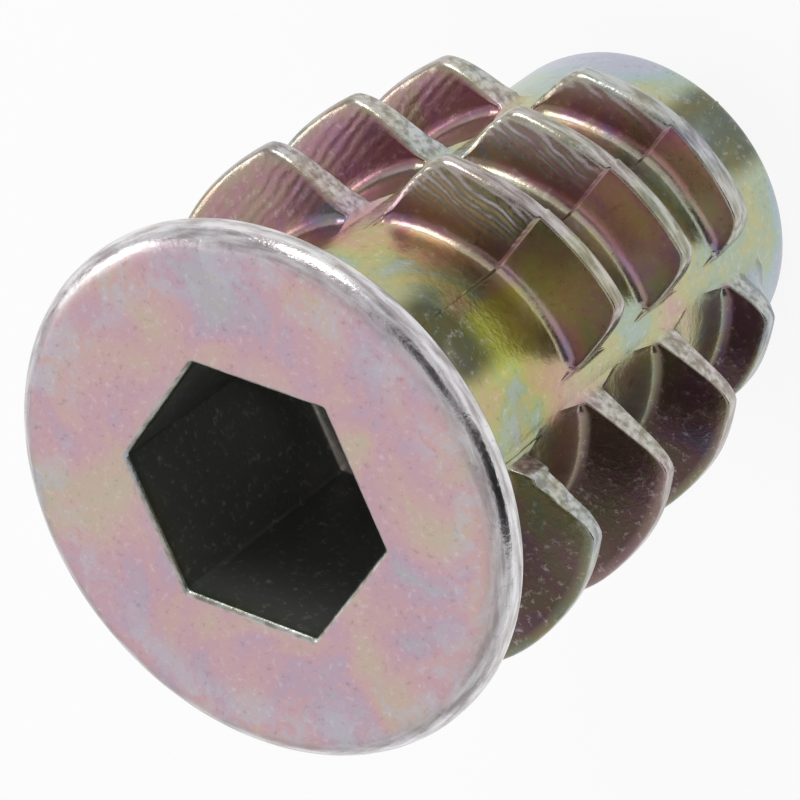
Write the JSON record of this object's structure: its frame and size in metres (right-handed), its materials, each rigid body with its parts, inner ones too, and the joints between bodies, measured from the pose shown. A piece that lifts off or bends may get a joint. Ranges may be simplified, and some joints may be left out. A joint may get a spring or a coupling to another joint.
{
  "type": "threaded insert",
  "caption": "Flanged die-cast insert with a coarse interrupted outer thread for wood, a hex key socket in the flange and a machine thread through the pilot end.",
  "frame": {"origin": "centre of the far (pilot) end, at the bottom of the part as it stands", "axes": "+Z along the bore axis, from the pilot end to the flange face; +X along the die's parting line"},
  "size_m": [0.0176, 0.0176, 0.0233],
  "materials": {
    "chromated_zinc": "satin, yellow-iridescent chromate over cast zinc"
  },
  "bodies": {
    "root": {"insert": "chromated_zinc"}
  },
  "joints": []
}
